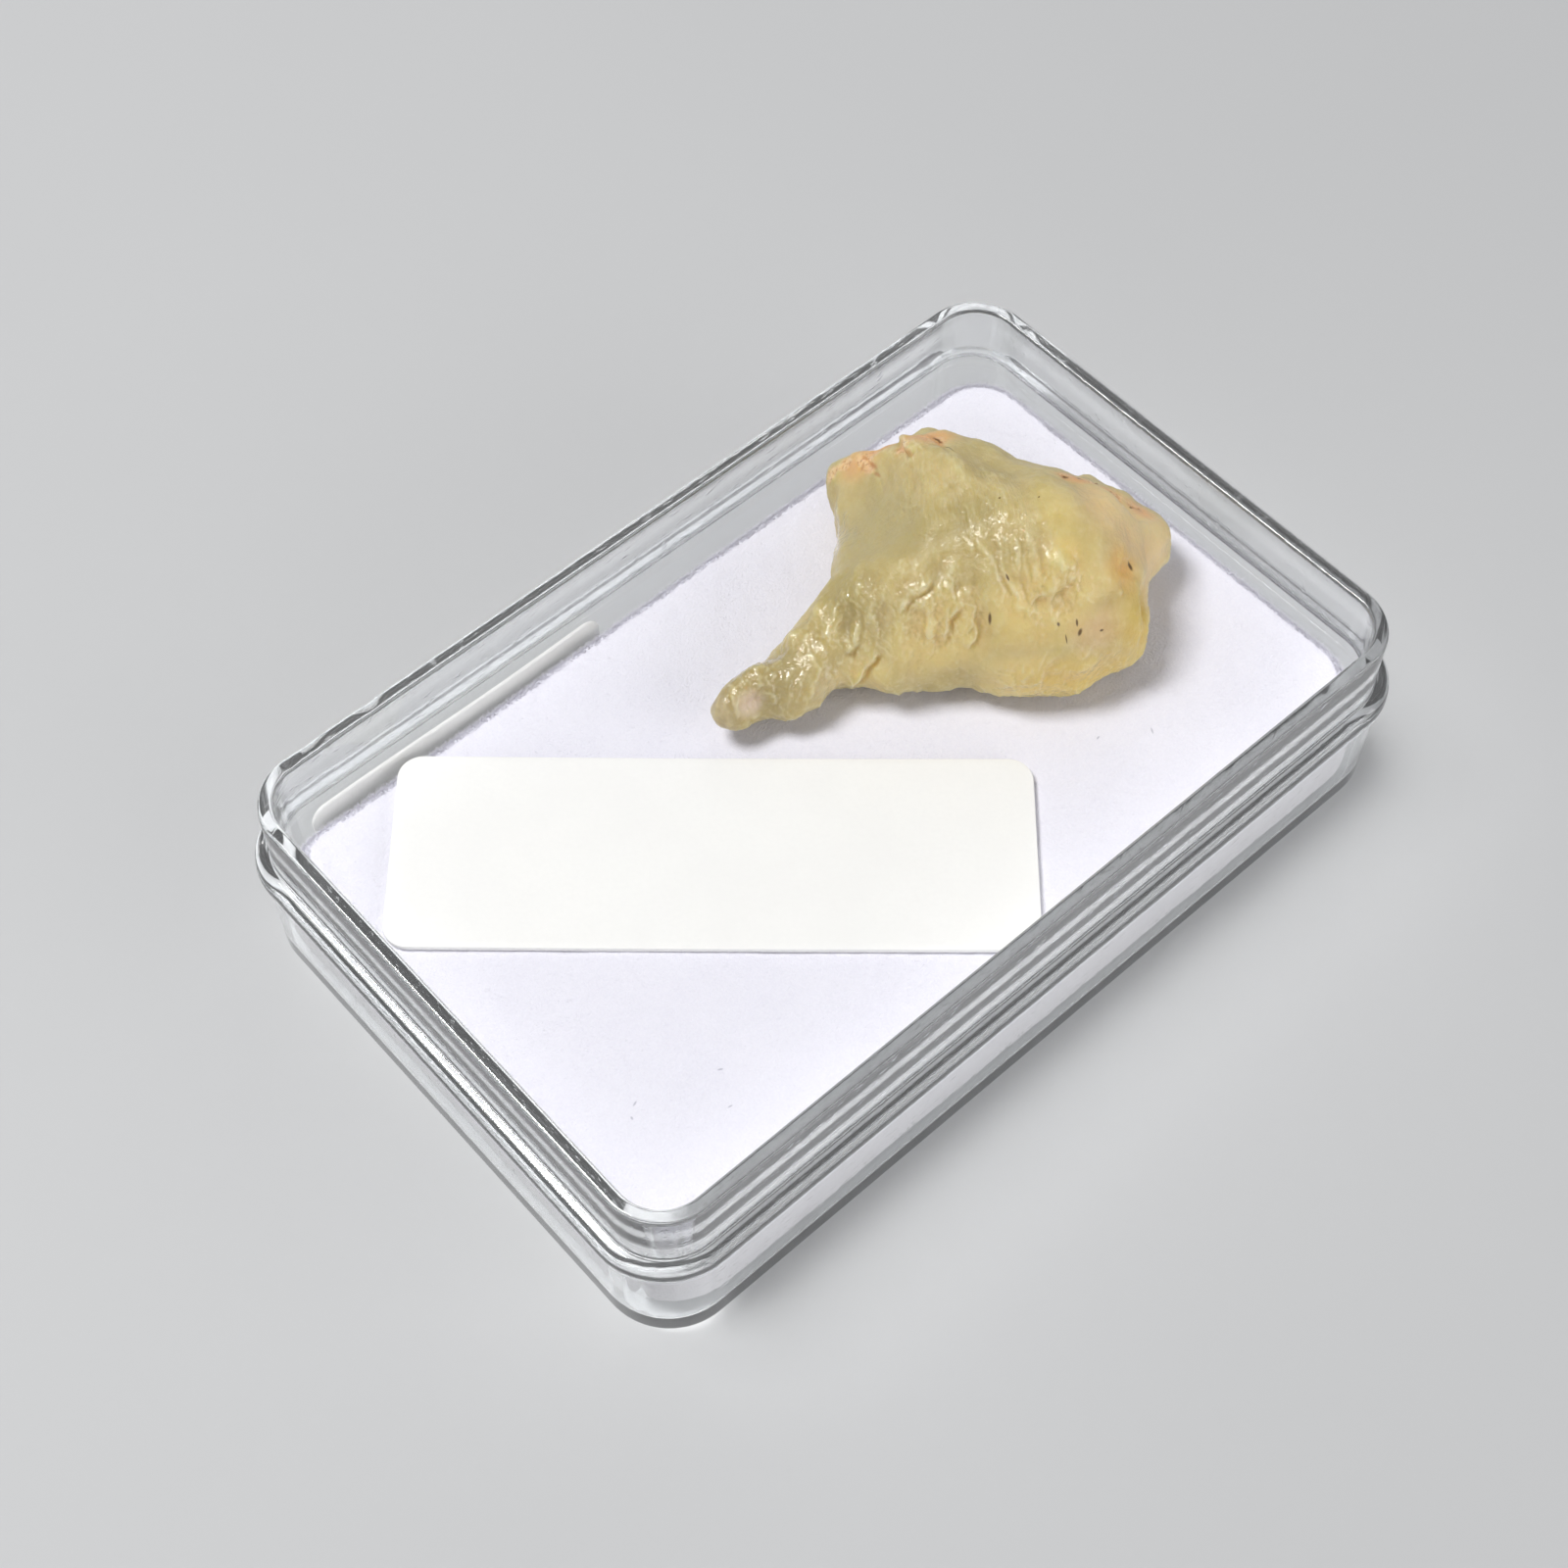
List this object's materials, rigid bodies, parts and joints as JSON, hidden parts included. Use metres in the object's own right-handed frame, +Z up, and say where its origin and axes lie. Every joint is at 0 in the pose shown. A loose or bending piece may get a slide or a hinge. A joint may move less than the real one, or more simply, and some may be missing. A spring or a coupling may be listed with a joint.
{
  "type": "raw libyan desert glass in a clear display tray",
  "caption": "Rough pale yellow natural glass stone lying on a white flocked pad in an open clear plastic display tray, with a bare paper name card and a paper slip.",
  "frame": {"origin": "under the middle of the tray's floor, on the surface that the tray stands on", "axes": "+X along the tray's long side, towards the stone's thick end; +Y across the tray, towards the slip; +Z up"},
  "size_m": [0.0522, 0.0336, 0.0171],
  "materials": {
    "clear_plastic": "clear, colourless moulded polystyrene, polished",
    "white_flock": "matt white flocked foam with a faint lilac cast and loose fibres at its edges",
    "white_card": "smooth white paper card, bare",
    "white_slip": "plain white paper",
    "desert_glass": "waxy, wind-polished natural silica glass, cloudy and translucent, with peach crust on its upper edge"
  },
  "bodies": {
    "root": {"display_tray": "clear_plastic", "flocked_pad": "white_flock", "name_card": "white_card", "paper_slip": "white_slip", "desert_glass": "desert_glass"}
  },
  "joints": []
}
